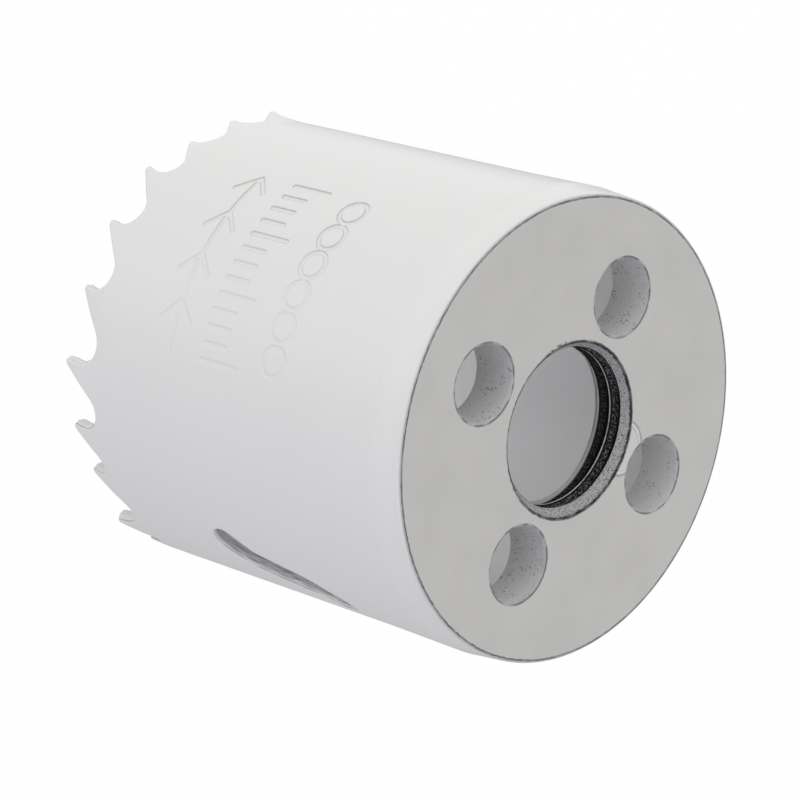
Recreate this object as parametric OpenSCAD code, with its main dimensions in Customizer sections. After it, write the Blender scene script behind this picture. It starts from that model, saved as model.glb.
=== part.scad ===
// Hole saw: a welded steel cup with a set toothed rim and a threaded end plate.
// It stands on its tooth tips, end plate up, with the axis of rotation on Z.

/* [Saw] */
// Height from the tooth tips to the outer face of the end plate
saw_h = 44; // [36:0.5:60]
// Outer diameter of the tube behind the teeth
body_d = 43.2; // [40:0.1:60]
// Thickness of the rolled strip that the tube is made of
wall_t = 1.3; // [0.9:0.05:1.6]
// How far the tube stands proud of its own diameter at the weld
weld_swell = 0.1; // [0:0.02:0.3]
// Length over which that swelling dies away
weld_swell_h = 8; // [3:0.5:14]

/* [Teeth] */
// Number of teeth, in whole groups of straight, inward and outward
tooth_count = 24; // [15:3:24]
// Angle at which the first tooth tip stands
first_tooth_a = 211.8; // [0:0.1:360]
// Width of the flat at a tooth tip
land_w = 0.45; // [0.3:0.05:0.8]
// Hook angle of the cutting face, from the saw's axis
hook_a = 14; // [8:1:20]
// Angle of the tooth's back, from the saw's axis
back_a = 48; // [42:1:52]
// Radius at the root of the gullet of a tooth of average pitch
gullet_r = 1.6; // [1.4:0.05:1.75]
// Distance that an outward tooth leans out at its tip
set_out = 0.6; // [0.2:0.05:0.8]
// Distance that an inward tooth leans in at its tip
set_in = 0.4; // [0.2:0.05:0.9]
// Height over which a tooth is bent
set_h = 2.3; // [1.6:0.1:2.4]

/* [Ejector slots] */
// Number of slots through which a cored plug is levered out
slot_count = 2; // [1:1:3]
// Width of a slot
slot_w = 3.5; // [2:0.1:5]
// Height of the middle of a slot above the tooth tips
slot_z = 22.9; // [18:0.1:25]
// Angle at which the middle of the first slot stands
slot_a = 344.7; // [0:0.1:360]
// Length of the slot's middle run, between the corners of its bends
slot_mid_l = 6.4; // [4:0.1:9]
// Length of each end run, from the bend's corner to the centre of the round end
slot_end_l = 3; // [1:0.1:5]
// Radius of a bend, at the middle of the slot's width
slot_bend_r = 4; // [3:0.5:6]
// Lean of the middle run, from the saw's axis
slot_mid_a = 15.3; // [0:0.1:30]
// Lean of the end runs, from the saw's axis
slot_end_a = 40.5; // [10:0.5:60]

/* [End plate] */
// Thickness of the end plate over its holes
plate_t = 4.5; // [4.2:0.1:7]
// Thickness of the plate's rim, which the tube is welded to
flange_t = 3.7; // [2.5:0.1:4]
// How much smaller the plate's rim is at its outer edge
rim_taper = 0.3; // [0:0.05:0.6]
// Radius of the rim's outer corner
rim_round = 0.35; // [0.1:0.05:0.8]
// Gap between the tube's inside and the plate's locating step
step_clearance = 0.05; // [0.02:0.01:0.2]

/* [Arbor holes] */
// Inner diameter of the arbor thread, at its crests
thread_d = 14.6; // [13.6:0.1:16]
// Diameter of the thread's countersinks
countersink_d = 16.2; // [16.2:0.1:17]
// Number of drive pin holes
pin_count = 4; // [2:1:4]
// Diameter of a drive pin hole
pin_d = 7.1; // [5:0.1:7.5]
// Diameter of the circle on which the pin holes lie
pin_circle_d = 25.7; // [25:0.1:30]

/* [Hidden] */

// Fineness of the round shapes
$fn = 120;
// Largest angle of one chord of a cut's arc
arc_step = 15;
// Angle left open on each side of a gullet's deepest point, between two tooth sectors
root_gap_a = 1;
// Overrun of a cut past the face that it leaves
cut_over = 1;

body_r = body_d / 2;
inner_r = body_r - wall_t;
rim_r = body_r + weld_swell;
// The tube butts on the plate's rim here
weld_z = saw_h - flange_t;

// Pitches of the teeth in turn, as shares of their sum: an uneven pitch cuts quietly
PITCH_PATTERN = [14.6, 15.3, 16.5, 17.7, 18.6, 17.5, 14.2, 16.6, 13.2, 12.4, 13.6, 14.9,
    16.2, 17.3, 16.1, 14.2, 12.8, 13.5, 14.8, 15.9, 14.9, 13.4, 12.8, 13];
// Set of three teeth in turn: straight, inward, outward
SET_PATTERN = [0, -set_in, set_out];

function tooth_set(i) = SET_PATTERN[i % len(SET_PATTERN)];
bent_teeth = [for (i = [0 : tooth_count - 1]) if (tooth_set(i) != 0) i];

// Sum of the first n pitches, as shares
function pitches_to(n) =
    n <= 0 ? 0 : PITCH_PATTERN[(n - 1) % len(PITCH_PATTERN)] + pitches_to(n - 1);

// Angle of the tip of tooth i, any whole number
function tip_a(i) =
    let (turns = floor(i / tooth_count))
    first_tooth_a + 360 * (turns + pitches_to(i - turns * tooth_count) / pitches_to(tooth_count));
// Distance round the tube from the end of one tooth's flat to the next tip
function gap_w(i) = (tip_a(i + 1) - tip_a(i)) * PI / 180 * body_r - land_w;
average_gap_w = 2 * PI * body_r / tooth_count - land_w;
function root_r(i) = gullet_r * gap_w(i) / average_gap_w;
// Centre of the root's circle: height over the tips, and distance past the tooth's flat.
// The circle touches the back of one tooth and the cutting face of the next.
function root_y(i) =
    (gap_w(i) * cos(hook_a) - root_r(i) * (1 + cos(hook_a) / cos(back_a)))
    / (tan(back_a) * cos(hook_a) - sin(hook_a));
function root_x(i) = (root_r(i) + root_y(i) * sin(back_a)) / cos(back_a);
// Angle of the deepest point of the gullet that follows tooth i
function root_a(i) = tip_a(i) + (land_w + root_x(i)) / body_r * 180 / PI;

// Radius of a bent face at height z, where the straight face has radius r
function leaned_r(r, set_x, z) = r + set_x * (1 - z / set_h);

// Revolves a section round one tooth, from the gullet before it to the one after
module tooth_sector(i) {
    rotate([0, 0, root_a(i - 1) + root_gap_a])
        rotate_extrude(angle = root_a(i) - root_a(i - 1) - 2 * root_gap_a)
            children();
}

// Metal between the middle of the wall and the face that a bent tooth pushes out
module lean_in_metal(set_x) {
    r = set_x > 0 ? body_r : inner_r;
    middle_r = (body_r + inner_r) / 2;
    polygon([
        [middle_r, 0],
        [leaned_r(r, set_x, 0), 0],
        [leaned_r(r, set_x, set_h + cut_over), set_h + cut_over],
        [middle_r, set_h + cut_over]
    ]);
}

// Space behind the face that a bent tooth draws away from
module lean_in_space(set_x) {
    r = set_x > 0 ? inner_r : body_r;
    far_r = set_x > 0 ? inner_r - cut_over : body_r + cut_over;
    polygon([
        [far_r, -cut_over],
        [leaned_r(r, set_x, -cut_over), -cut_over],
        [leaned_r(r, set_x, set_h + cut_over), set_h + cut_over],
        [far_r, set_h + cut_over]
    ]);
}

// Tube with its swelling at the weld, down to the tooth tips
module tube() {
    rotate_extrude()
        polygon([
            [inner_r, 0],
            [body_r, 0],
            [body_r, weld_z - weld_swell_h],
            [rim_r, weld_z],
            [inner_r, weld_z]
        ]);
}

// Cuts an outline through the wall at angle a. Its sides run towards the axis,
// because teeth and slots are cut in flat strip before the strip is rolled up.
module wall_cut(a, outline) {
    count = len(outline);
    depths = [inner_r - set_in - cut_over, body_r + set_out + cut_over];
    rotate([0, 0, a])
        polyhedron(
            points = [for (r = depths) for (p = outline) [r, p[0] * r / body_r, p[1]]],
            faces = concat(
                [[for (i = [0 : count - 1]) i]],
                [[for (i = [count - 1 : -1 : 0]) count + i]],
                [for (i = [0 : count - 1]) [i, count + i, (i + 1) % count]],
                [for (i = [0 : count - 1]) [(i + 1) % count, count + i, count + (i + 1) % count]]
            )
        );
}

// Points of an arc, as chords of about arc_step
function arc(centre, r, from_a, to_a) =
    let (steps = max(2, ceil(abs(to_a - from_a) / arc_step)))
    [for (i = [0 : steps]) let (a = from_a + (to_a - from_a) * i / steps) centre + r * [cos(a), sin(a)]];

// Outline of the gullet that follows tooth i, with x from the middle of the gap
function gullet_outline(i) =
    let (gap = gap_w(i))
    let (points = concat(
        [[gap, -cut_over], [gap, 0]],
        arc([root_x(i), root_y(i)], root_r(i), -hook_a, 180 - back_a),
        [[0, 0], [0, -cut_over]]
    ))
    [for (p = points) p - [gap / 2, 0]];

module gullets() {
    for (i = [0 : tooth_count - 1])
        wall_cut(tip_a(i) + (land_w + gap_w(i) / 2) / body_r * 180 / PI, gullet_outline(i));
}

// Outline of one half of a slot: inside of the bend, round end, outside of the bend.
// The other half is the same, turned half round.
function slot_half() =
    let (corner = slot_mid_l / 2 * [sin(slot_mid_a), cos(slot_mid_a)])
    let (tip = corner + slot_end_l * [sin(slot_end_a), cos(slot_end_a)])
    let (half_w = slot_w / 2)
    let (half_turn = (slot_end_a - slot_mid_a) / 2)
    let (across = slot_mid_a + half_turn)
    let (centre = corner + slot_bend_r / cos(half_turn) * [cos(across), -sin(across)])
    concat(
        arc(centre, slot_bend_r - half_w, 180 - slot_mid_a, 180 - slot_end_a),
        arc(tip, half_w, -slot_end_a, 180 - slot_end_a),
        arc(centre, slot_bend_r + half_w, 180 - slot_end_a, 180 - slot_mid_a)
    );

module slots() {
    half = slot_half();
    outline = [for (p = concat(half, -half)) p + [0, slot_z]];
    for (i = [0 : slot_count - 1])
        wall_cut(slot_a + i * 360 / slot_count, outline);
}

module saw_body() {
    color("whitesmoke")
        difference() {
            union() {
                tube();
                for (i = bent_teeth)
                    tooth_sector(i)
                        lean_in_metal(tooth_set(i));
            }
            for (i = bent_teeth)
                tooth_sector(i)
                    lean_in_space(tooth_set(i));
            gullets();
            slots();
        }
}

// Half section of the end plate, with its tapered rim and its locating step
module plate_section() {
    outer_r = rim_r - rim_taper;
    step_r = inner_r - step_clearance;
    translate([outer_r - rim_round, saw_h - rim_round])
        intersection() {
            circle(r = rim_round);
            square(rim_round);
        }
    polygon([
        [0, saw_h - plate_t],
        [step_r, saw_h - plate_t],
        [step_r, weld_z],
        [rim_r, weld_z],
        [outer_r, saw_h - rim_round],
        [outer_r - rim_round, saw_h - rim_round],
        [outer_r - rim_round, saw_h],
        [0, saw_h]
    ]);
}

// Threaded hole at its crest diameter, with a countersink at each face
module arbor_hole() {
    sink_h = (countersink_d - thread_d) / 2;
    translate([0, 0, saw_h - plate_t - cut_over])
        cylinder(h = plate_t + 2 * cut_over, d = thread_d);
    translate([0, 0, saw_h - sink_h])
        cylinder(h = sink_h + cut_over, d1 = thread_d, d2 = countersink_d + 2 * cut_over);
    translate([0, 0, saw_h - plate_t - cut_over])
        cylinder(h = sink_h + cut_over, d1 = countersink_d + 2 * cut_over, d2 = thread_d);
}

module back_plate() {
    color("gainsboro")
        difference() {
            rotate_extrude()
                plate_section();
            arbor_hole();
            for (i = [0 : pin_count - 1])
                rotate([0, 0, i * 360 / pin_count])
                    translate([pin_circle_d / 2, 0, saw_h - plate_t - cut_over])
                        cylinder(h = plate_t + 2 * cut_over, d = pin_d);
        }
}

saw_body();
back_plate();
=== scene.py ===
"""Hole saw in white enamel: a toothed cup and a threaded end plate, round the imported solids."""

from math import ceil, cos, inf, pi, radians, sin, sqrt, tan, tau
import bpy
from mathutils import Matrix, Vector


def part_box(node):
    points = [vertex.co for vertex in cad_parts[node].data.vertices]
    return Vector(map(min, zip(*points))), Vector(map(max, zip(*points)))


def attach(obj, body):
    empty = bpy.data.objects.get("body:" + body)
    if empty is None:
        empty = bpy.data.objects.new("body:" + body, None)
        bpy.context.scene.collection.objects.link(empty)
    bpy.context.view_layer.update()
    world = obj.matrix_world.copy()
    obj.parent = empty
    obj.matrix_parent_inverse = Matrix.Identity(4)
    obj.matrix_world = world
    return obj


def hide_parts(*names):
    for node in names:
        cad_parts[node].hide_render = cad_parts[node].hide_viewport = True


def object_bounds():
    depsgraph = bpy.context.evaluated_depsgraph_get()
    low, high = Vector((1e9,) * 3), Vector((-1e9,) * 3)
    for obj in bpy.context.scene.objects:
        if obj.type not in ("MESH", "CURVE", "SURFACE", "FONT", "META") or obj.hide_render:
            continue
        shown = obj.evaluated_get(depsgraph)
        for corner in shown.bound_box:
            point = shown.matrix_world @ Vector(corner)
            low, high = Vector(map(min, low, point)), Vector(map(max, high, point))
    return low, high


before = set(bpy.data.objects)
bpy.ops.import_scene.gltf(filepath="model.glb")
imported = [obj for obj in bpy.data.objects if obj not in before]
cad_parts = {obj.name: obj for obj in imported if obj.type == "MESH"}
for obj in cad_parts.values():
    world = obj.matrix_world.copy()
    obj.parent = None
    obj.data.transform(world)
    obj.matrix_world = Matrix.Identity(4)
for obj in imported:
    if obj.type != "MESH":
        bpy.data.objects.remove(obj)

from types import SimpleNamespace

import bmesh
import bpy
from bmesh.types import BMEdge, BMFace, BMVert
from bpy.props import FloatProperty, FloatVectorProperty, IntProperty, PointerProperty
from mathutils import Matrix, Vector

bl_info = {
    "name": "Hole saw",
    "version": (1, 0, 0),
    "blender": (4, 5, 0),
    "location": "View3D > Sidebar > Hole saw",
    "description": "Builds an enamelled hole saw round its packed solids",
    "category": "Object",
}

MM = 0.001
ROOT_BODY = "root"
CUP_NODE = "saw_body"
PLATE_NODE = "back_plate"
CAD_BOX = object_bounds()

# Pitches of the teeth in turn, as shares of their sum
PITCH_PATTERN = (14.6, 15.3, 16.5, 17.7, 18.6, 17.5, 14.2, 16.6, 13.2, 12.4, 13.6, 14.9,
                 16.2, 17.3, 16.1, 14.2, 12.8, 13.5, 14.8, 15.9, 14.9, 13.4, 12.8, 13)
# Largest angle of one chord of an outline's arc
ARC_STEP = radians(9)
# Angle from which an edge between faces shows as sharp
SHARP_A = radians(40)
# Tolerances in millimetres: of points to join, edges to drop and points on a cut
JOIN_DIST = 1e-3
DROP_DIST = 1e-4
CUT_DIST = 1e-5
# Decimals by which a point of the flat strip is looked up
PLACE_DIGITS = 5
# What is worked past the strip's end and past the marks
STRIP_SPARE = 2
MARK_SPARE = 1
# Rows of faces over the teeth's bend, at the swelling, and under and over the weld, these in
# half widths of its line, with their share of its depth
BEND_ROWS = 12
SWELL_ROWS = 10
WELD_ROWS = (4, 3, 2.2, 1.6, 1.1, 0.7, 0.3)
DIP_ROWS = ((1.4, 0.1), (0.7, 0.45), (0, 1))
# Rows of the rim's taper, as shares of its height
TAPER_ROWS = (0.7, 0.4, 0.2, 0.1)
RIM_COLUMNS = 360
PIN_COLUMNS = 96
PIN_ROWS = 6
ROUND_STEPS = 4
# Bevel of the plate's inner corner
STEP_BEVEL = 0.2
# Half the flat at a thread's root and the height of a flank, in pitches
ROOT_FLAT = 0.06
FLANK = 0.34
# How often a tick of the scale is long
LONG_TICK = 4
FILM_W = 36
# From the saw's middle to a lamp
LAMP_GAP = 0.6
# Soft lamps: name, azimuth, rise, width, watts and colour
LAMPS = (
    ("key", radians(224), radians(25), 0.4, 0.42, (1, 1, 1)),
    ("fill", radians(335), radians(10), 0.3, 0.33, (0.85, 0.92, 1.25)),
)


def length(name, millimetres, description=""):
    """A size that the sidebar shows as a length."""
    return FloatProperty(
        name=name, description=description, default=millimetres * MM, precision=5, unit="LENGTH")


def turn(name, in_degrees, description=""):
    """An angle that the sidebar shows in degrees."""
    return FloatProperty(
        name=name, description=description, default=radians(in_degrees), unit="ROTATION")


def whole(name, value, description=""):
    """A whole number."""
    return IntProperty(name=name, description=description, default=value)


def share(name, value, description=""):
    """A plain factor."""
    return FloatProperty(name=name, description=description, default=value)


def colour(name, value, description=""):
    """A colour of the finish."""
    return FloatVectorProperty(
        name=name, description=description, default=value, size=3, subtype="COLOR")


class CupSizes(bpy.types.PropertyGroup):
    """The rolled and welded cup behind the teeth."""
    body_d: length("Tube diameter", 43.2)
    wall_t: length("Wall thickness", 1.3)
    weld_swell: length("Swell at weld", 0.1, "Gain of radius there")
    weld_swell_h: length("Swell length", 8, "Over which that dies away")
    weld_dip: length("Weld line depth", 0.035, "Of the faint line along the weld")
    weld_dip_w: length("Weld line width", 0.16, "Half the width of that line")
    paint_r: length("Paint edge radius", 0.24, "At the cut edges")
    bead: length("Paint bead", 0.12, "Bulge in the middle of a cut face")
    ring_w: length("Edge ring", 0.05, "Width of the flat ring beside a rounded edge")
    columns: whole("Faces round the cup", 240)


class ToothSizes(bpy.types.PropertyGroup):
    """The set, unevenly pitched teeth."""
    count: whole("Teeth", 24)
    first_a: turn("Place of first tip", 211.8)
    land_w: length("Width of tip", 0.6)
    hook_a: turn("Hook angle", 12.5, "Of the cutting face, from the saw's axis")
    back_a: turn("Back angle", 48, "Of the tooth's back, from the saw's axis")
    gullet_r: length("Gullet radius", 1.55, "At the root of a gullet of average pitch")
    tip_r: length("Tip rounding", 0.3, "Radius of a tip's painted corners")
    set_out: length("Outward set", 0.64, "At the tip")
    set_in: length("Inward set", 0.4, "At the tip")
    bend_h: length("Height of bend", 4)
    bend_soft: share("Bend softness", 0.22, "Share of that height over which it comes on")
    ease_w: length("Easing", 1.2, "Half the width of the change of set")
    seam_tooth: whole("Seam tooth", -7, "Whose gullet holds the strip's joint")


class SlotSizes(bpy.types.PropertyGroup):
    """The S-shaped ejector slots."""
    count: whole("Slots", 2)
    width: length("Width", 3.5)
    middle_z: length("Height", 22.9, "Of a slot's middle")
    middle_a: turn("Place of first", 344.7)
    mid_l: length("Middle run", 6.4, "Between the corners of a slot's bends")
    end_l: length("End run", 3, "From there to the centre of the round end")
    bend_r: length("Bend radius", 4, "At mid width")
    mid_a: turn("Middle lean", 15.3, "Of the middle run, from the saw's axis")
    end_a: turn("End lean", 40.5, "Of the end runs, from the saw's axis")


class MarkSizes(bpy.types.PropertyGroup):
    """The shallow stamped marks: an arrow, a scale and a row of rings."""
    start_a: turn("Start", 236)
    end_a: turn("End", 286)
    stroke_w: length("Stroke width", 0.42)
    depth: length("Depth at start", 0.14)
    end_depth: length("Depth at end", 0.06)
    soft_w: length("Soft edge", 0.13, "Width over which a stroke rounds off")
    arrow_z: length("Height of arrow", 13.7)
    head_l: length("Arrow head", 1.9, "Reach along the saw")
    heads: whole("Arrow heads", 4)
    scale_z: length("Height of scale", 18.1)
    tick_l: length("Tick length", 2.8)
    long_tick_l: length("Long tick length", 4.5)
    ticks: whole("Steps of scale", 12)
    rings_z: length("Height of rings", 27.2)
    ring_d: length("Ring diameter", 2.7)
    rings: whole("Rings", 6)
    cell: length("Face size", 0.1)
    # Over these angles the painted shade on the strokes' walls fades out
    crisp_a: turn("Crisp up to", -118, "Where the strokes' dark edges start to fade")
    faint_a: turn("Faint from", -88, "Where those edges have faded")


class PlateSizes(bpy.types.PropertyGroup):
    """The end plate with its rim and drive pin holes."""
    rim_taper: length("Rim taper", 0.3, "Loss of radius up to its outer edge")
    rim_round: length("Rim corner radius", 0.32)
    step_clearance: length("Step clearance", 0.05, "Between the tube and the plate's step")
    pin_count: whole("Pin holes", 4)
    pin_d: length("Pin hole diameter", 7.1)
    pin_circle_d: length("Pin circle diameter", 25.7)
    hole_round: length("Hole edge radius", 0.14, "As the paint rounds it")
    face_ring: length("Face ring", 0.15, "Width of the flat ring beside a rounded edge")


class ThreadSizes(bpy.types.PropertyGroup):
    """The arbor thread and its countersinks."""
    crest_d: length("Crest diameter", 14.6)
    root_d: length("Root diameter", 15.875)
    sink_d: length("Countersink", 16.2, "Diameter at the plate's faces")
    pitch: length("Pitch", 1.411)
    start_a: turn("Start", 190, "Where a crest leaves the plate's inner face")
    rows: whole("Faces along a pitch", 24)
    columns: whole("Faces round the bore", 240)


class Finishes(bpy.types.PropertyGroup):
    """Colours and gloss of the painted and bare steel."""
    enamel: colour("Cup enamel", (0.8, 0.79, 0.782))
    # Also the colour of painted highlights: the lighter band by the weld and the welt's ridge
    thick_enamel_and_highlight: colour("Thick enamel", (0.82, 0.812, 0.805))
    # Painted shade: darker than the cup's enamel, though the plate has the same paint
    plate: colour("Plate enamel", (0.632, 0.624, 0.612))
    wall: colour("Thin enamel", (0.64, 0.64, 0.645), "In the pin holes and slots")
    # Painted light: lighter and bluer than the cup's enamel, though the inside has the same paint
    inside: colour("Enamel inside", (0.85, 0.854, 0.86))
    streak: colour("Streaks", (0.3, 0.3, 0.32), "On the slots' cut faces")
    dust: colour("Overspray", (0.45, 0.45, 0.46), "Paint that dusts the bore")
    steel: colour("Oily steel", (0.003, 0.003, 0.003))
    # Also the colour of the painted shade in the stamped grooves and beside the welt
    grime_and_shade: colour("Grime", (0.03, 0.03, 0.034), "At worn edges")
    dirt: colour("Dirt", (0.09, 0.075, 0.06), "On the lip of the bore")
    dirt_a: turn("Place of dirt", -135)
    enamel_rough: share("Roughness of the cup", 0.3)
    peel: length("Orange peel", 0.004, "Height of the enamel's waves")
    # Height of the lighter band that is partly a painted highlight
    thick_and_highlight_z: length("Height of thick enamel", 42)
    welt_x: length("Welt X", -0.8, "Centre of the welt by the bore")
    welt_y: length("Welt Y", 7.6)
    welt_r: length("Welt radius", 2.3)


class StageSettings(bpy.types.PropertyGroup):
    """Camera, floor and sky."""
    camera_at: FloatVectorProperty(
        name="Camera place", unit="LENGTH", default=(0.033530, -0.239126, 0.249961))
    camera_turn: FloatVectorProperty(
        name="Camera turn", unit="ROTATION",
        default=[radians(a) for a in (-16.5807, -44.3796, 120.6535)])
    lens: share("Lens", 160.261, "Focal length in millimetres")
    sky: share("Sky", 0.685, "Strength of the light from all round")
    sky_lean: share("Sky lean", 0.34, "How much stronger it is on the bright side")
    bright_a: turn("Bright side", 224)
    floor_w: length("Floor width", 3000)
    floor_z: length("Floor height", -60)
    floor_glow: share("Floor glow", 1.08)
    pale_a: turn("Pale side", 212, "Where reflections see the floor as white")
    side_dim: share("Side dimming", 0.6, "How much darker it is elsewhere")
    dark_a: turn("Dark side", 80, "Where they see it darkest")
    dark_dim: share("Dark dimming", 0.4, "How much darker still it is there")


GROUPS = {
    "cup": CupSizes, "teeth": ToothSizes, "slots": SlotSizes, "marks": MarkSizes,
    "plate": PlateSizes, "thread": ThreadSizes, "finish": Finishes, "stage": StageSettings,
}


class HoleSawSettings(bpy.types.PropertyGroup):
    """Everything that the sidebar offers."""
    __annotations__ = {key: PointerProperty(type=group) for key, group in GROUPS.items()}


def in_mm(group):
    """A group's values, lengths in millimetres, because mesh operators have fixed tolerances."""
    values = {}
    for key, prop in group.bl_rna.properties.items():
        if key not in ("name", "rna_type"):
            value = getattr(group, key)
            values[key] = value / MM if prop.unit == "LENGTH" else value
    return SimpleNamespace(**values)


def frame_heights():
    """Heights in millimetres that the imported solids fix: the plate's two faces and the weld."""
    plate_low, plate_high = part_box(PLATE_NODE)
    cup_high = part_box(CUP_NODE)[1]
    return SimpleNamespace(
        face_z=plate_high.z / MM, inside_z=plate_low.z / MM, weld_z=cup_high.z / MM)


# Outlines in the flat, in millimetres: x runs round the cup, y up from the tooth tips

def arc(centre, radius, start, end, step=ARC_STEP):
    """Points of an arc, as chords of about one step."""
    steps = max(2, ceil(abs(end - start) / step))
    angles = [start + (end - start) * k / steps for k in range(steps + 1)]
    return [centre + radius * Vector((cos(a), sin(a))) for a in angles]


def rounded_corner(before, corner, after, radius):
    """Points of the arc that rounds a corner of an outline."""
    into = (corner - before).normalized()
    out = (after - corner).normalized()
    bend = -into.angle_signed(out)
    start = corner - into * radius * tan(abs(bend) / 2)
    side = Vector((-into.y, into.x)) if bend > 0 else Vector((into.y, -into.x))
    centre = start + side * radius
    steps = max(2, ceil(abs(bend) / ARC_STEP))
    turns = [Matrix.Rotation(bend * k / steps, 2) for k in range(steps + 1)]
    return [centre + part @ (start - centre) for part in turns]


class ToothRow:
    """Where the teeth and gullets stand round the strip."""

    def __init__(self, teeth, body_r):
        self.teeth = teeth
        self.body_r = body_r
        self.shares = [PITCH_PATTERN[i % len(PITCH_PATTERN)] for i in range(teeth.count)]
        around = range(teeth.seam_tooth - 1, teeth.seam_tooth + teeth.count + 2)
        self.sets = {i: (0, -teeth.set_in, teeth.set_out)[i % 3] for i in around}
        self.root_xs = {i: self.root(i)[0].x for i in around}

    def tip_x(self, i):
        """Distance round the strip of the tip of tooth i, any whole number."""
        turns, k = divmod(i, self.teeth.count)
        around = turns + sum(self.shares[:k]) / sum(self.shares)
        return self.body_r * (self.teeth.first_a + tau * around)

    def gap(self, i):
        """Distance from the end of tooth i's flat to the next tip."""
        return self.tip_x(i + 1) - self.tip_x(i) - self.teeth.land_w

    def root(self, i):
        """Centre and radius of the circle at the root of the gullet that follows tooth i."""
        t = self.teeth
        average = tau * self.body_r / t.count - t.land_w
        radius = t.gullet_r * self.gap(i) / average
        y = (self.gap(i) * cos(t.hook_a) - radius * (1 + cos(t.hook_a) / cos(t.back_a))) \
            / (tan(t.back_a) * cos(t.hook_a) - sin(t.hook_a))
        x = (radius + y * sin(t.back_a)) / cos(t.back_a)
        return Vector((self.tip_x(i) + t.land_w + x, y)), radius

    def seam_x(self):
        """Where the strip's two ends meet: the middle of a gullet."""
        return self.root(self.teeth.seam_tooth)[0].x

    def edge(self, first, last):
        """The toothed edge, from mid gullet before tooth first to mid gullet after tooth last."""
        t = self.teeth
        gullets = {}
        for i in range(first - 1, last + 1):
            centre, radius = self.root(i)
            start = pi / 2 if i == first - 1 else pi - t.back_a
            end = pi / 2 if i == last else -t.hook_a
            gullets[i] = arc(centre, radius, start, end)
        points = gullets[first - 1][:-1]
        for i in range(first, last + 1):
            tip = Vector((self.tip_x(i), 0))
            flat_end = tip + Vector((t.land_w, 0))
            points += rounded_corner(gullets[i - 1][-1], tip, flat_end, t.tip_r)
            points += rounded_corner(tip, flat_end, gullets[i][0], t.tip_r)
            points += gullets[i]
        return points

    def set_at(self, x):
        """Set of the tooth at x, eased into the next tooth's across a gullet."""
        ease_w = self.teeth.ease_w
        i = next(k for k, root_x in self.root_xs.items() if x <= root_x + ease_w)
        past = min(1, max(0, (x - self.root_xs[i] + ease_w) / (2 * ease_w)))
        past *= past * (3 - 2 * past)
        return self.sets[i] * (1 - past) + self.sets.get(i + 1, 0) * past

    def lean(self, x, y):
        """Lean of the strip at a point, that lean's slope, and how far the bend has come on."""
        t = self.teeth
        down = (t.bend_h - y) / t.bend_h
        if down <= 0:
            return 0, 0, 0
        full = self.set_at(x)
        reach = sqrt(1 + t.bend_soft ** 2) - t.bend_soft
        onset = (sqrt(down ** 2 + t.bend_soft ** 2) - t.bend_soft) / reach
        steep = down / sqrt(down ** 2 + t.bend_soft ** 2) / reach
        return full * onset, full * steep / t.bend_h, onset


def slot_outline(slots, x):
    """Outline of one slot whose middle stands at x."""
    half_w = slots.width / 2
    corner = slots.mid_l / 2 * Vector((sin(slots.mid_a), cos(slots.mid_a)))
    tip = corner + slots.end_l * Vector((sin(slots.end_a), cos(slots.end_a)))
    half_turn = (slots.end_a - slots.mid_a) / 2
    across = slots.mid_a + half_turn
    centre = corner + slots.bend_r / cos(half_turn) * Vector((cos(across), -sin(across)))
    half = arc(centre, slots.bend_r - half_w, pi - slots.mid_a, pi - slots.end_a, ARC_STEP / 2)
    half += arc(tip, half_w, -slots.end_a, pi - slots.end_a)
    half += arc(centre, slots.bend_r + half_w, pi - slots.end_a, pi - slots.mid_a, ARC_STEP / 2)
    middle = Vector((x, slots.middle_z))
    return [middle + p for p in half] + [middle - p for p in half]


# Mesh helpers

def made_of(result, kind):
    """The elements of one kind that an operator gives back."""
    return [g for g in result["geom"] if isinstance(g, kind)]


def once(items):
    """Items without repeats, in the order in which they came, so that each run is the same."""
    return list(dict.fromkeys(items))


def loop_of(bm, points):
    """A closed loop of edges through points of an outline."""
    verts = [bm.verts.new((p.x, p.y, 0)) for p in points]
    return [bm.edges.new(pair) for pair in zip(verts, verts[1:] + verts[:1])]


def fill(bm, edges):
    """Fills an outline with its holes, and marks the filling's own edges as seams."""
    made = bmesh.ops.triangle_fill(
        bm, edges=edges, use_beauty=True, use_dissolve=False, normal=(0, 0, 1))
    faces = made_of(made, BMFace)
    for edge in {e for f in faces for e in f.edges if not e.is_boundary}:
        edge.seam = True
    return faces


def round_over(bm, faces, radius, ring_w, steps=3):
    """Rolls a sheet's border down in a quarter circle, with a narrow flat ring inside it."""
    for k in range(steps):
        low, high = pi / 2 * k / steps, pi / 2 * (k + 1) / steps
        bmesh.ops.inset_region(
            bm, faces=faces, use_boundary=True, use_even_offset=True,
            thickness=radius * (cos(low) - cos(high)), depth=radius * (sin(high) - sin(low)))
    bmesh.ops.inset_region(
        bm, faces=faces, use_boundary=True, use_even_offset=True, thickness=ring_w, depth=0)


def bulges(border, reach):
    """For each place on a sheet's border, the step out from the sheet."""
    outward = {}
    for edge in border:
        start, end = (v.co for v in edge.verts)
        out = (end - start).cross(Vector((0, 0, 1)))
        if out.dot((start + end) / 2 - edge.link_faces[0].calc_center_median()) < 0:
            out.negate()
        for vert in edge.verts:
            place = vert.co.to_tuple(PLACE_DIGITS)
            outward[place] = outward.get(place, Vector()) + out.normalized()
    return {place: out.normalized() * reach for place, out in outward.items()}


def elements(faces):
    """Faces with their edges and vertices, as the cutting operator wants them."""
    edges = once(e for f in faces for e in f.edges)
    return [*faces, *edges, *once(v for f in faces for v in f.verts)]


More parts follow.
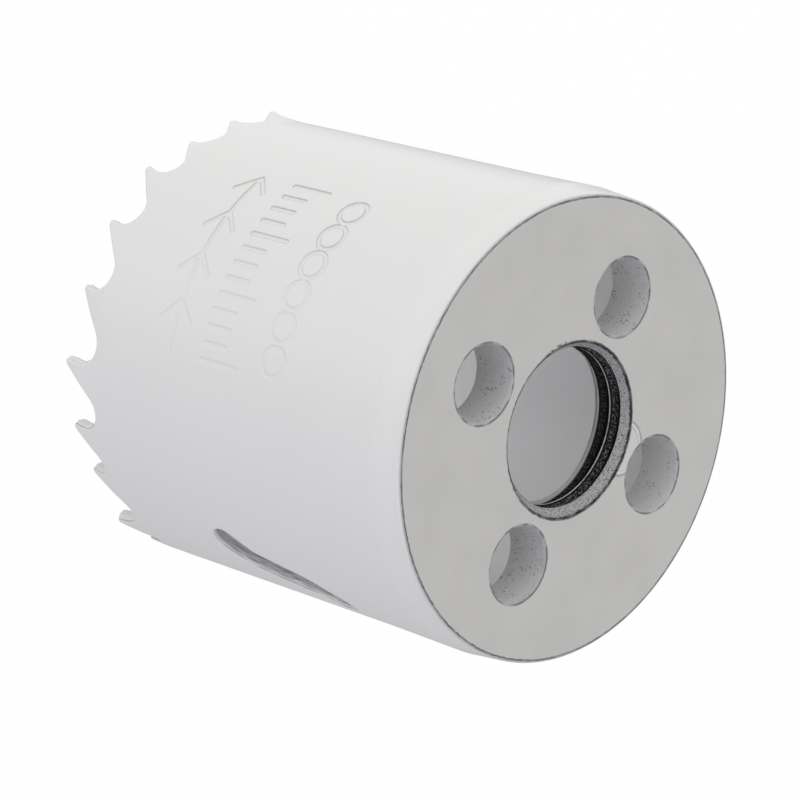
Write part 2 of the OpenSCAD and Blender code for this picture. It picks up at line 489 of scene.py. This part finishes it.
def slice_up(bm, faces, axis, places):
    """Cuts faces across an axis at each place, the middle one first, to meet few faces."""
    if not places or not faces:
        return
    middle = len(places) // 2
    across = Vector((0, 0, 0))
    across[axis] = 1
    point = across * places[middle]
    cut = bmesh.ops.bisect_plane(
        bm, geom=elements(faces), dist=CUT_DIST, plane_co=point, plane_no=across)
    low, high = [], []
    for face in made_of(cut, BMFace):
        (low if face.calc_center_median()[axis] < places[middle] else high).append(face)
    slice_up(bm, low, axis, places[:middle])
    slice_up(bm, high, axis, places[middle + 1:])


def trim(bm, axis, place, keep_low):
    """Cuts everything across an axis and throws one side away."""
    across = Vector((0, 0, 0))
    across[axis] = 1
    bmesh.ops.bisect_plane(
        bm, geom=elements(bm.faces[:]), dist=CUT_DIST, plane_co=across * place, plane_no=across,
        clear_outer=keep_low, clear_inner=not keep_low)


def steps_between(start, end, count):
    """The places strictly between two ends that part them equally."""
    return [start + (end - start) * k / count for k in range(1, count)]


def placed(name, data):
    """A new object in the scene."""
    thing = bpy.data.objects.new(name, data)
    bpy.context.scene.collection.objects.link(thing)
    return thing


def mesh_of(bm, name):
    """A new mesh, which uses the bmesh up."""
    mesh = bpy.data.meshes.new(name)
    bm.to_mesh(mesh)
    bm.free()
    return mesh


def finished(bm, name, materials, node):
    """Makes a closed mesh, worked in millimetres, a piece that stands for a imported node."""
    bmesh.ops.recalc_face_normals(bm, faces=bm.faces[:])
    bmesh.ops.scale(bm, vec=(MM, MM, MM), verts=bm.verts[:])
    mesh = mesh_of(bm, name)
    mesh.polygons.foreach_set("use_smooth", [True] * len(mesh.polygons))
    mesh.set_sharp_from_angle(angle=SHARP_A)
    for material in materials:
        mesh.materials.append(material)
    piece = placed(name, mesh)
    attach(piece, ROOT_BODY)
    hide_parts(node)


# Finishes

def maths(operation, swapped=False):
    """A method that adds a Math node for a value and what it is combined with."""
    def method(self, *others):
        values = (*others, self) if swapped else (self, *others)
        return self.shading.node("Math", {"operation": operation}, dict(enumerate(values)))
    return method


class Value:
    """A socket in a node tree, for sums written in Python."""

    def __init__(self, shading, socket):
        self.shading = shading
        self.socket = socket

    __add__, __radd__ = maths("ADD"), maths("ADD", swapped=True)
    __sub__, __rsub__ = maths("SUBTRACT"), maths("SUBTRACT", swapped=True)
    __mul__, __rmul__ = maths("MULTIPLY"), maths("MULTIPLY", swapped=True)
    __truediv__, __abs__ = maths("DIVIDE"), maths("ABSOLUTE")
    root, fraction = maths("SQRT"), maths("FRACT")
    least, most, angle = maths("MINIMUM"), maths("MAXIMUM"), maths("ARCTAN2")


class Shading:
    """A node tree whose nodes come from one method."""

    def __init__(self, tree):
        self.tree = tree

    def node(self, kind, settings=None, sockets=None, output=0):
        """A node of a kind, its settings first, then the values or links of its sockets."""
        made = self.tree.nodes.new("ShaderNode" + kind)
        for key, value in (settings or {}).items():
            setattr(made, key, value)
        for key, value in (sockets or {}).items():
            self.feed(made.inputs[key], value)
        return Value(self, made.outputs[output])

    def feed(self, socket, value):
        """Links a value to a socket, or sets the socket to a number or colour."""
        if isinstance(value, Value):
            self.tree.links.new(value.socket, socket)
        elif socket.type == "RGBA":
            socket.default_value = (*value, 1)
        else:
            socket.default_value = value

    def towards(self, way, azimuth):
        """How far a direction leans to one side, from -1 to 1."""
        side = (cos(azimuth), sin(azimuth), 0)
        return self.node(
            "VectorMath", {"operation": "DOT_PRODUCT"}, {0: way, 1: side}, output="Value")

    def glossy(self):
        """1 for what a reflection sees."""
        return self.node("LightPath", output="Is Glossy Ray")

    def seen(self):
        """1 for what the camera or a reflection sees, 0 for what lights the saw."""
        return self.node("LightPath", output="Is Camera Ray").most(self.glossy())


class Finish(Shading):
    """A material with a Principled shader."""

    def __init__(self, name, **constants):
        self.material = bpy.data.materials.new(name)
        self.material.use_nodes = True
        super().__init__(self.material.node_tree)
        self.shader = self.tree.nodes["Principled BSDF"]
        for key, value in constants.items():
            self.shader.inputs[key.replace("_", " ")].default_value = value
        self.place = self.node("TexCoord", output="Object")

    def axes(self):
        """The three object coordinates."""
        parts = self.node("SeparateXYZ", sockets={0: self.place})
        return [Value(self, part) for part in parts.socket.node.outputs]

    def noise(self, size, detail=2.0, rough=0.5, where=None):
        """Noise from 0 to 1, with lumps of about a size in millimetres."""
        return self.node("TexNoise", sockets={
            "Vector": where or self.place, "Scale": 1 / (size * MM),
            "Detail": detail, "Roughness": rough})

    def step(self, value, low, high):
        """0 below low, 1 above high and smooth between; low may be the larger."""
        return self.node("MapRange", {"interpolation_type": "SMOOTHSTEP"}, {
            "Value": value, "From Min": low, "From Max": high})

    def line(self, distance, core, edge):
        """1 on a line, fading out between two half widths in millimetres."""
        return 1 - self.step(abs(distance), core * MM, edge * MM)

    def mix(self, factor, first, second):
        """A colour between two others."""
        return self.node("Mix", {"data_type": "RGBA"}, {0: factor, 6: first, 7: second}, output=2)

    def bump(self, height, distance):
        """Feeds the shader's normal from a height from 0 to 1 and a distance in metres."""
        made = self.node("Bump", sockets={"Height": height, "Distance": distance, "Strength": 1.0})
        self.feed(self.shader.inputs["Normal"], made)

    def paint(self, base):
        """Feeds the shader's base colour, and gives the finished material."""
        self.feed(self.shader.inputs["Base Color"], base)
        return self.material


def dimmed(paint, factor):
    """A colour made darker."""
    return [factor * c for c in paint]


def worn_lines(f, settings):
    """Thin broken dark lines where the plate's face meets its rim, the pin holes and the bore."""
    plate, lip_r = settings.plate, settings.thread.sink_d / 2
    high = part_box(PLATE_NODE)[1]
    rim_r = high.x - plate.rim_taper - plate.rim_round
    mouth_r = plate.pin_d / 2 + plate.hole_round
    x, y, z = f.axes()
    r = (x * x + y * y).root()
    from_pin = abs(x).most(abs(y)) - plate.pin_circle_d / 2
    across = abs(x).least(abs(y))
    pin_r = (from_pin * from_pin + across * across).root()
    wobble = (f.noise(0.5, 3) - 0.5) * 0.16 * MM + (f.noise(5, 1) - 0.5) * 0.1 * MM
    broken = f.step(f.noise(1.3, 3), 0.38, 0.55)
    uneven = 0.7 + 0.3 * broken
    rim = f.line(r - rim_r + wobble, 0.04, 0.13) * 0.85 * uneven
    pin = f.line(pin_r - mouth_r + wobble * 0.4, 0.05, 0.15) * 0.75 * (0.45 + 0.55 * broken)
    lip = f.line(r - lip_r + wobble * 1.3, 0.08, 0.2) * 0.95 * uneven
    at_face = f.step(z, high.z - 0.7 * MM, high.z - 0.5 * MM)
    return rim.most(pin).most(lip) * at_face


def cup_enamel(settings):
    """Semi-gloss white enamel with a slight waviness, worn at its arrises, with painted shade on
    the walls of the stamped strokes, a lighter band by the weld that is partly a painted highlight,
    and painted light that makes the inside lighter and bluer.
    """
    look, marks = settings.finish, settings.marks
    outer_r = settings.cup.body_d / 2
    inner_r = outer_r - settings.cup.wall_t
    teeth_h = 2 * settings.teeth.bend_h
    f = Finish("white_enamel", Roughness=look.enamel_rough, Coat_Weight=0.4, Coat_Roughness=0.1)
    x, y, z = f.axes()
    r = (x * x + y * y).root()
    press = f.node("Attribute", {"attribute_name": "press"}, output="Fac")
    arris = f.node("Attribute", {"attribute_name": "arris"}, output="Fac")
    # Painted shade on the walls of the stamped grooves, strong on one side of the cup and fading
    # towards the other
    groove_shade_strength = 1 - f.step(y.angle(x), marks.crisp_a, marks.faint_a)
    stroke = (1 - abs(press - 0.5) * 2).most(0) * (0.06 + 0.44 * groove_shade_strength)
    stroke = stroke * (0.5 + 0.7 * f.noise(0.7, 2))
    tip = 1 - f.step(z, 0.2 * MM, 0.7 * MM)
    wear = 0.2 + 0.35 * f.step(f.noise(2.5, 2), 0.4, 0.6) + 0.35 * tip
    worn = f.step(arris, 0.1, 0.9) * wear
    # A lighter wavy band by the weld: sagged enamel, and partly a painted highlight
    thick_and_highlight = f.line(z - look.thick_and_highlight_z + (f.noise(4, 2) - 0.5) * 2 * MM, 0.3, 1.5) * f.noise(7, 1)
    base = f.mix(f.noise(9, 1), dimmed(look.enamel, 0.985), look.enamel)
    base = f.mix(thick_and_highlight, base, look.thick_enamel_and_highlight)
    # Painted light: the inside of the cup is made lighter and bluer than the same enamel outside
    base = f.mix(1 - f.step(r, inner_r, inner_r + 0.2 * MM), base, look.inside)
    # The slots' cut faces carry thin enamel, streaked along the cut
    inside = f.step(r, inner_r + 0.15 * MM, inner_r + 0.3 * MM)
    outside = f.step(r, outer_r - 0.35 * MM, outer_r - 0.2 * MM)
    cut = inside * (1 - outside) * f.step(z, teeth_h, teeth_h + 1 * MM)
    along = f.node("CombineXYZ", sockets={"X": r * 6, "Y": z * 0.4})
    streaks = f.step(f.noise(0.6, 3, where=along), 0.35, 0.65)
    base = f.mix(cut, base, f.mix(streaks, look.streak, look.wall))
    # Dark at worn arrises and worn edge lines, and painted shade in the stamped grooves
    base = f.mix(stroke.most(worn).most(worn_lines(f, settings)), base, look.grime_and_shade)
    f.bump(f.noise(1.6, 2), look.peel)
    return f.paint(base)


def shaded_plate_enamel(settings):
    """The same enamel on the turned plate, satin, worn at its edges, with a welt by the bore; the
    plate's colour is darker than the cup's as painted shade, and the welt has a painted highlight
    on its ridge and a painted shadow beside it.
    """
    look, lip_r = settings.finish, settings.thread.sink_d / 2
    f = Finish("shaded_plate_enamel", Roughness=0.42)
    x, y, _ = f.axes()
    r = (x * x + y * y).root()
    # Painted shade: the plate's colour is darker than the cup's, though it is the same enamel
    base = f.mix(f.step(f.noise(5, 4), 0.3, 0.7), dimmed(look.plate, 0.95), look.plate)
    # The welt is a ridge on part of a small circle that crosses the lip. The ridge line is painted
    # lighter, a painted highlight, and a line just outside it darker, a painted shadow.
    east, north = x - look.welt_x, y - look.welt_y
    from_ridge = (east * east + north * north).root() - look.welt_r
    from_ridge = from_ridge + (f.noise(1, 2) - 0.5) * 0.3 * MM
    ridge = f.line(from_ridge, 0.06, 0.2)
    shade = f.line(from_ridge - 0.26 * MM, 0.04, 0.14) * 0.3
    within = 1 - f.step(from_ridge, -0.4 * MM, 0.1 * MM)
    base = f.mix((within * 0.4).most(ridge), base, look.thick_enamel_and_highlight)
    beside = f.step(abs(y.angle(x) - look.dirt_a), radians(7.2), radians(14.4))
    by_lip = (1 - f.step(r, lip_r + 0.1 * MM, lip_r + 0.5 * MM)) * (1 - beside)
    base = f.mix(by_lip * f.step(f.noise(0.4, 3), 0.48, 0.54), base, look.dirt)
    # Worn edge lines, and the painted shadow beside the welt's ridge
    base = f.mix(worn_lines(f, settings).most(shade), base, look.grime_and_shade)
    f.bump(ridge * 0.12 + f.noise(0.35, 3) * 0.004, MM)
    return f.paint(base)


def bore_steel(settings):
    """Black oily thread with light crests, dusted with enamel on its flanks and countersinks."""
    look, thread = settings.finish, settings.thread
    heights = frame_heights()
    sink_h = (thread.sink_d - thread.crest_d) / 2
    dusty_from = (heights.face_z - heights.inside_z) * MM - 1.2 * MM
    f = Finish("bore_steel", Roughness=0.45, Specular_IOR_Level=0.1)
    x, y, z = f.axes()
    depth = heights.face_z * MM - z
    around = (y.angle(x) - thread.start_a) / tau
    phase = ((z - heights.inside_z * MM) / thread.pitch - around).fraction()
    patchy = 0.5 + 0.5 * f.step(f.noise(0.8, 2), 0.35, 0.5)
    crest = f.step(abs(phase - 0.5), 0.44, 0.47) * patchy
    flank = f.step(phase, 0.12, 0.2) * (1 - f.step(phase, 0.34, 0.42))
    speck = f.noise(0.16, 2, 0.6)
    grains = f.step(speck, 0.48, 0.62) * (0.42 - 0.3 * f.step(depth, 1.9 * MM, 2.4 * MM))
    base = f.mix(flank * grains, look.steel, look.dust)
    base = f.mix(crest * 0.8, base, look.thick_enamel_and_highlight)
    ragged = depth + (speck - 0.5) * 0.5 * MM
    sunk = 1 - f.step(ragged, sink_h + 0.05 * MM, sink_h + 0.15 * MM)
    fine = f.step(f.noise(0.11, 3, 0.7), 0.36, 0.52)
    base = f.mix(sunk, base, f.mix(fine, look.grime_and_shade, look.dust))
    base = f.mix(f.step(depth, dusty_from, dusty_from + 0.1 * MM), base, look.dust)
    base = f.mix(worn_lines(f, settings), base, look.steel)
    f.bump(speck, 0.05 * MM)
    return f.paint(base)


def pin_wall(settings):
    """Walls of the drive pin holes: thin, rough, speckled enamel."""
    look = settings.finish
    f = Finish("pin_wall", Roughness=0.5)
    speck = f.noise(0.2, 3, 0.6)
    pits = (1 - f.step(speck, 0.34, 0.42)) * f.step(f.noise(1.5, 1), 0.42, 0.6)
    base = f.mix(pits, f.mix(speck, dimmed(look.wall, 0.85), look.wall), look.grime_and_shade)
    base = f.mix(worn_lines(f, settings), base, look.grime_and_shade)
    f.bump(speck, 0.04 * MM)
    return f.paint(base)


class HOLESAW_OT_cup(bpy.types.Operator):
    """Builds the toothed cup in flat strip and rolls it up"""
    bl_idname = "holesaw.cup"
    bl_label = "Build cup"

    def execute(self, context):
        settings = context.scene.hole_saw
        cup, slots = in_mm(settings.cup), in_mm(settings.slots)
        weld_z = frame_heights().weld_z
        row = ToothRow(in_mm(settings.teeth), cup.body_d / 2)
        bm = bmesh.new()
        self.flat_strip(bm, row, cup, slots, weld_z)
        self.cut_to_rows(bm, row, cup, weld_z)
        self.stamp(bm, row, in_mm(settings.marks), cup)
        self.roll_up(bm, row, cup, weld_z)
        finished(bm, "cup", [cup_enamel(settings)], CUP_NODE)
        return {"FINISHED"}

    def flat_strip(self, bm, row, cup, slots, weld_z):
        """The strip with its teeth and slots, its edges rounded, a little larger than needed."""
        t = row.teeth
        first, last = t.seam_tooth, t.seam_tooth + t.count + 1
        edge = [p + Vector((0, cup.bead)) for p in row.edge(first, last)]
        top = weld_z + STRIP_SPARE
        outline = edge + [Vector((edge[-1].x, top)), Vector((edge[0].x, top))]
        edges = loop_of(bm, outline)
        for k in range(slots.count):
            a = slots.middle_a + k * tau / slots.count
            x = row.seam_x() + (a * row.body_r - row.seam_x()) % (tau * row.body_r)
            edges += loop_of(bm, slot_outline(slots, x))
        faces = fill(bm, edges)
        round_over(bm, faces, cup.paint_r, cup.ring_w)
        # The flat of the skin comes to lie half a wall over the strip's middle
        bmesh.ops.translate(bm, vec=(0, 0, cup.wall_t / 2 - cup.paint_r), verts=bm.verts[:])
        border = [e for e in bm.edges if e.is_boundary]
        bulge = bulges(border, cup.bead)
        side = bmesh.ops.extrude_edge_only(bm, edges=border)
        for vert in made_of(side, BMVert):
            vert.co += bulge[vert.co.to_tuple(PLACE_DIGITS)]
            vert.co.z = 0
        bmesh.ops.mirror(bm, geom=elements(bm.faces[:]), axis="Z", merge_dist=DROP_DIST)

    def cut_to_rows(self, bm, row, cup, weld_z):
        """Trims the strip and slices it into columns, and into rows where it bends or swells."""
        start = row.seam_x()
        end = start + tau * row.body_r
        trim(bm, 0, start, keep_low=False)
        trim(bm, 0, end, keep_low=True)
        trim(bm, 1, weld_z, keep_low=True)
        slice_up(bm, bm.faces[:], 0, steps_between(start, end, cup.columns))
        bent = [row.teeth.bend_h * k / BEND_ROWS for k in range(1, BEND_ROWS + 1)]
        weld = [weld_z - cup.weld_dip_w * k for k in WELD_ROWS]
        swelling = steps_between(weld_z - cup.weld_swell_h - 1, weld[0], SWELL_ROWS)
        slice_up(bm, bm.faces[:], 1, bent + swelling + weld)
        leftover = [e for e in bm.edges if e.seam]
        bmesh.ops.dissolve_edges(bm, edges=leftover, use_verts=True, use_face_split=False)
        # The top rim runs from the outer skin to the inner one
        top = [
            e for e in bm.edges if e.is_boundary
            and all(v.co.y > weld_z - JOIN_DIST and v.co.z > 0 for v in e.verts)
        ]
        for vert in made_of(bmesh.ops.extrude_edge_only(bm, edges=top), BMVert):
            vert.co.z = -cup.wall_t / 2

    def stamp(self, bm, row, marks, cup):
        """Presses the generic marks into the outer face: an arrow, a scale and a row of rings."""
        press = bm.verts.layers.float.new("press")
        left, right = marks.start_a * row.body_r, marks.end_a * row.body_r
        column_w = tau * row.body_r / cup.columns
        near, far = left - MARK_SPARE, right + MARK_SPARE

        def outer_faces(low=-inf, high=inf):
            """Faces on the flat of the outer skin at the marks, between two heights."""
            found = []
            for face in bm.faces:
                x, y, w = face.calc_center_median()
                if near < x < far and low < y < high and w > cup.wall_t * 0.49:
                    found.append(face)
            return found

        rows = mark_rows(marks, left, right)
        lows = [min(foot.y - off for foot, head, off in line) - marks.stroke_w for line in rows]
        highs = [max(head.y + off for foot, head, off in line) + marks.stroke_w for line in rows]
        slice_up(bm, outer_faces(), 1, sorted(lows + highs))
        for line, low, high in zip(rows, lows, highs):
            for axis, span in ((1, high - low), (0, column_w)):
                along = [
                    e for e in once(e for f in outer_faces(low, high) for e in f.edges)
                    if abs(e.verts[0].co[1 - axis] - e.verts[1].co[1 - axis]) < DROP_DIST
                ]
                cuts = round(span / marks.cell) - 1
                bmesh.ops.subdivide_edges(bm, edges=along, cuts=cuts, use_grid_fill=True)
            for vert in once(v for f in outer_faces(low, high) for v in f.verts):
                vert[press] = pressed(line, vert.co.xy, marks)
                way = (vert.co.x - left) / (right - left)
                depth = marks.depth + (marks.end_depth - marks.depth) * way
                vert.co.z -= depth * vert[press]

    def roll_up(self, bm, row, cup, weld_z):
        """Bends the teeth, swells the tube at the weld and rolls the strip into a cup."""
        middle_r = row.body_r - cup.wall_t / 2
        inner_r = row.body_r - cup.wall_t
        arris_w = cup.wall_t / 2 - cup.paint_r / 2
        press, arris = bm.verts.layers.float["press"], bm.verts.layers.float.new("arris")
        for vert in bm.verts:
            x, y, w = vert.co
            vert[arris] = 1 if abs(w - arris_w) < JOIN_DIST and not vert[press] else 0
            lean, slope, onset = row.lean(x, y)
            straight = 1 / sqrt(1 + slope ** 2)
            r = middle_r + lean + w * straight
            lift = cup.wall_t / 2 * abs(slope) * straight * onset
            z = y + w * slope * straight + lift
            rise = max(0, (y - weld_z + cup.weld_swell_h) / cup.weld_swell_h)
            outward = (r - inner_r) / cup.wall_t
            dip = cup.weld_dip * (1 - min(1, abs(weld_z - y) / (2 * cup.weld_dip_w))) ** 2
            r += outward * (cup.weld_swell * min(1, rise) - dip)
            a = x / row.body_r
            vert.co = (r * cos(a), r * sin(a), z)
        rim = [v for v in bm.verts if v.is_boundary]
        bmesh.ops.remove_doubles(bm, verts=rim, dist=JOIN_DIST)


def mark_rows(marks, left, right):
    """Lines of generic marks. A mark is a straight run, foot first, and an offset round it."""
    tail, tip = Vector((right, marks.arrow_z)), Vector((left, marks.arrow_z))
    arrow = [(tip, tail, 0)]
    for k in range(marks.heads):
        nose = tip.lerp(tail, k / marks.heads)
        arrow.append((nose + marks.head_l * Vector((1, -1)), nose, 0))
        arrow.append((nose, nose + marks.head_l * Vector((1, 1)), 0))
    scale = []
    for k in range(marks.ticks + 1):
        foot = Vector((left + (right - left) * k / marks.ticks, marks.scale_z))
        tick_l = marks.tick_l if k % LONG_TICK else marks.long_tick_l
        scale.append((foot, foot + Vector((0, tick_l)), 0))
    rings = []
    for k in range(marks.rings):
        middle = Vector((left + (right - left) * (k + 0.5) / marks.rings, marks.rings_z))
        # A ring is the offset round a line too short to show
        rings.append((middle, middle + Vector((0.01, 0)), marks.ring_d / 2))
    return arrow, scale, rings


def pressed(line, point, marks):
    """How deep a line of marks presses a point, from 0 to 1."""
    reach = (marks.stroke_w + marks.soft_w) / 2
    nearest = reach
    for start, end, offset in line:
        if min(start.x, end.x) - offset - reach < point.x < max(start.x, end.x) + offset + reach:
            run = end - start
            along = min(1, max(0, (point - start).dot(run) / run.length_squared))
            nearest = min(nearest, abs((start + run * along - point).length - offset))
    inside = min(1, (reach - nearest) / marks.soft_w)
    return inside * inside * (3 - 2 * inside)


class HOLESAW_OT_end_plate(bpy.types.Operator):
    """Builds the end plate with its pin holes and its threaded bore"""
    bl_idname = "holesaw.end_plate"
    bl_label = "Build end plate"

    def execute(self, context):
        settings = context.scene.hole_saw
        cup, plate, thread = in_mm(settings.cup), in_mm(settings.plate), in_mm(settings.thread)
        heights = frame_heights()
        bm = bmesh.new()
        self.faces_and_walls(bm, cup, plate, thread, heights)
        self.cut_thread(bm, thread, heights)
        bmesh.ops.remove_doubles(bm, verts=bm.verts[:], dist=JOIN_DIST)
        bmesh.ops.dissolve_degenerate(bm, dist=DROP_DIST, edges=bm.edges[:])
        looks = (shaded_plate_enamel, bore_steel, pin_wall, cup_enamel)
        finished(bm, "end_plate", [look(settings) for look in looks], PLATE_NODE)
        return {"FINISHED"}

    def faces_and_walls(self, bm, cup, plate, thread, heights):
        """The plate's two flat faces, and the walls between them round the rim and pin holes."""
        body_r = cup.body_d / 2
        rim_r = body_r + cup.weld_swell
        edge_r = rim_r - plate.rim_taper
        step_r = body_r - cup.wall_t - plate.step_clearance
        sink_r, pin_r, edge = thread.sink_d / 2, plate.pin_d / 2, plate.hole_round
        centre = Vector((0, 0, 0))
        pins = [
            Vector((cos(a), sin(a), 0)) * plate.pin_circle_d / 2
            for a in (k * tau / plate.pin_count for k in range(plate.pin_count))
        ]
        top, bottom = heights.face_z, heights.inside_z
        quarter = [pi / 2 * k / ROUND_STEPS for k in range(ROUND_STEPS + 1)]
        ring = plate.face_ring

        def flat_face(outer_r, z):
            """A face of the plate with its holes; gives the loops round it and round them."""
            loops = [
                circle(bm, centre, outer_r, z, RIM_COLUMNS),
                circle(bm, centre, sink_r + ring, z, thread.columns),
            ]
            loops += [circle(bm, p, pin_r + edge + ring, z, PIN_COLUMNS) for p in pins]
            fill(bm, [e for loop in loops for e in loop])
            return loops

        upper = flat_face(edge_r - plate.rim_round - ring, top)
        lower = flat_face(step_r - ring - STEP_BEVEL, bottom)

        rim = [
            (edge_r - plate.rim_round * (1 - sin(a)), top - plate.rim_round * (1 - cos(a)))
            for a in quarter
        ]
        taper_h = top - plate.rim_round - heights.weld_z
        for rise in TAPER_ROWS:
            z = heights.weld_z + taper_h * rise
            rim.append((edge_r + plate.rim_taper * (1 - rise), z))
        for up, dip in DIP_ROWS:
            rim.append((rim_r - cup.weld_dip * dip, heights.weld_z + cup.weld_dip_w * up))
        rim += [(step_r, heights.weld_z), (step_r, bottom + STEP_BEVEL)]
        rim += [(step_r - STEP_BEVEL, bottom), (step_r - ring - STEP_BEVEL, bottom)]
        wall_on(bm, wall_on(bm, upper[0], centre, rim[:1], 0), centre, rim[1:], 3)

        mouth = [(pin_r + edge * (1 - sin(a)), edge * (1 - cos(a))) for a in quarter]
        hole = [(r, top - down) for r, down in mouth]
        hole += [(pin_r, z) for z in steps_between(top, bottom, PIN_ROWS)]
        hole += [(r, bottom + down) for r, down in reversed(mouth)]
        hole.append((pin_r + edge + ring, bottom))
        for loop, p in zip(upper[2:], pins):
            wall_on(bm, wall_on(bm, loop, p, hole[:1], 0), p, hole[1:], 2)

        wall_on(bm, upper[1], centre, [(sink_r, top)], 0)
        wall_on(bm, lower[1], centre, [(sink_r, bottom)], 0)

    def cut_thread(self, bm, thread, heights):
        """Spins the thread's section up a helix, and holds it to the countersinks and the faces."""
        top, bottom = heights.face_z, heights.inside_z
        crest_r, root_r, sink_r = thread.crest_d / 2, thread.root_d / 2, thread.sink_d / 2
        step = thread.pitch / thread.rows
        start_z = bottom - thread.pitch
        count = ceil((top - start_z) / step)
        verts = []
        for k in range(count + 1):
            phase = (k / thread.rows + thread.start_a / tau) % 1
            slope = min(1, max(0, (abs(phase - 0.5) - ROOT_FLAT) / FLANK))
            verts.append(bm.verts.new((root_r - (root_r - crest_r) * slope, 0, start_z + k * step)))
        edges = [bm.edges.new(pair) for pair in zip(verts, verts[1:])]
        old_faces = set(bm.faces)
        climb = thread.pitch / thread.columns
        bmesh.ops.spin(
            bm, geom=verts + edges, cent=(0, 0, 0), axis=(0, 0, 1), dvec=(0, 0, climb),
            angle=tau, steps=thread.columns, use_duplicate=False)
        wall = [f for f in bm.faces if f not in old_faces]
        for vert in {v for f in wall for v in f.verts}:
            x, y, z = vert.co
            z = min(top, max(bottom, z))
            r = max(sqrt(x * x + y * y), sink_r - (top - z), sink_r - (z - bottom))
            out = Vector((x, y, 0)).normalized() * r
            vert.co = (out.x, out.y, z)
        for face in wall:
            face.material_index = 1


def circle(bm, centre, radius, z, segments):
    """A loop of edges on a circle."""
    place = Matrix.Translation((centre.x, centre.y, z))
    made = bmesh.ops.create_circle(
        bm, cap_ends=False, radius=radius, segments=segments, matrix=place)
    return once(e for v in made["verts"] for e in v.link_edges)


def wall_on(bm, edges, centre, profile, material):
    """Extrudes a loop through rings of a radius and a height each, and gives the last ring."""
    for radius, z in profile:
        made = bmesh.ops.extrude_edge_only(bm, edges=edges)
        verts = set(made_of(made, BMVert))
        edges = [e for e in made_of(made, BMEdge) if set(e.verts) <= verts]
        for face in {f for e in edges for f in e.link_faces}:
            face.material_index = material
        for vert in verts:
            out = Vector((vert.co.x - centre.x, vert.co.y - centre.y, 0)).normalized() * radius
            vert.co = (centre.x + out.x, centre.y + out.y, z)
    return edges


class HOLESAW_OT_stage(bpy.types.Operator):
    """Sets up the floor, the soft lamps and the camera"""
    bl_idname = "holesaw.stage"
    bl_label = "Set the stage"

    def execute(self, context):
        stage = context.scene.hole_saw.stage
        self.add_camera(stage)
        self.add_floor(stage)
        self.add_light(stage)
        context.scene.view_settings.view_transform = "Standard"
        return {"FINISHED"}

    def add_camera(self, stage):
        """The camera stands where the photograph was taken from."""
        data = bpy.data.cameras.new("camera")
        data.lens = stage.lens
        data.sensor_width = FILM_W
        camera = placed("camera", data)
        camera.location = stage.camera_at
        camera.rotation_euler = stage.camera_turn
        bpy.context.scene.camera = camera

    def add_floor(self, stage):
        """A white floor, low enough for light to reach into the cup, with a soft shadow."""
        bm = bmesh.new()
        place = Matrix.Translation((0, 0, stage.floor_z))
        bmesh.ops.create_grid(bm, x_segments=1, y_segments=1, size=stage.floor_w / 2, matrix=place)
        floor = placed("floor", mesh_of(bm, "floor"))
        f = Finish("floor_paper", Base_Color=(0.9, 0.9, 0.9, 1), Roughness=0.9)
        way = f.node("VectorMath", {"operation": "NORMALIZE"}, {0: f.place})
        pale = f.step(f.towards(way, stage.pale_a), 0.05, 0.5)
        dark = f.step(f.towards(way, stage.dark_a), 0.86, 0.98)
        # Reflections see the floor greyer away from its pale side
        dimming = f.glossy() * (stage.side_dim * (1 - pale) + stage.dark_dim * dark)
        glow = f.node("Emission", sockets={"Color": stage.floor_glow - dimming})
        paper = Value(f, f.shader.outputs[0])
        shown = f.node("MixShader", sockets={0: 0.15 + f.seen() * 0.65, 1: paper, 2: glow})
        f.feed(f.tree.nodes["Material Output"].inputs["Surface"], shown)
        floor.data.materials.append(f.material)

    def add_light(self, stage):
        """A white sky that is brighter on one side, and the soft lamps."""
        world = bpy.data.worlds.new("sky")
        bpy.context.scene.world = world
        world.use_nodes = True
        f = Shading(world.node_tree)
        background = f.tree.nodes["Background"]
        background.inputs["Color"].default_value = (1, 1, 1, 1)
        side = f.towards(f.node("TexCoord", output="Generated"), stage.bright_a)
        lit = stage.sky + side * stage.sky_lean
        f.feed(background.inputs["Strength"], lit + f.seen() * (1 - lit))
        for lamp in LAMPS:
            self.soft_lamp(*lamp)

    def soft_lamp(self, name, azimuth, rise, width, power, tint):
        """A square soft lamp that looks at the saw's middle."""
        middle = (CAD_BOX[0] + CAD_BOX[1]) / 2
        out = Vector((cos(azimuth) * cos(rise), sin(azimuth) * cos(rise), sin(rise)))
        data = bpy.data.lights.new(name, "AREA")
        data.shape = "SQUARE"
        data.size = width
        data.energy = power
        data.color = tint
        lamp = placed(name, data)
        lamp.location = middle + out * LAMP_GAP
        lamp.rotation_euler = out.to_track_quat("Z", "Y").to_euler()


class HOLESAW_PT_sidebar(bpy.types.Panel):
    """Sizes, finishes and the build buttons"""
    bl_idname = "HOLESAW_PT_sidebar"
    bl_label = "Hole saw"
    bl_space_type = "VIEW_3D"
    bl_region_type = "UI"
    bl_category = "Hole saw"

    def draw(self, context):
        settings = context.scene.hole_saw
        for key, group in GROUPS.items():
            box = self.layout.box()
            box.label(text=key.capitalize())
            for size in group.__annotations__:
                box.prop(getattr(settings, key), size)
        for operator in OPERATORS:
            self.layout.operator(operator.bl_idname)


OPERATORS = (HOLESAW_OT_cup, HOLESAW_OT_end_plate, HOLESAW_OT_stage)
CLASSES = (*GROUPS.values(), HoleSawSettings, *OPERATORS, HOLESAW_PT_sidebar)


def register():
    for item in CLASSES:
        bpy.utils.register_class(item)
    bpy.types.Scene.hole_saw = PointerProperty(type=HoleSawSettings)


def unregister():
    del bpy.types.Scene.hole_saw
    for item in reversed(CLASSES):
        bpy.utils.unregister_class(item)


def main():
    """Builds every piece and the stage."""
    register()
    bpy.ops.holesaw.cup()
    bpy.ops.holesaw.end_plate()
    bpy.ops.holesaw.stage()


if __name__ == "__main__":
    main()
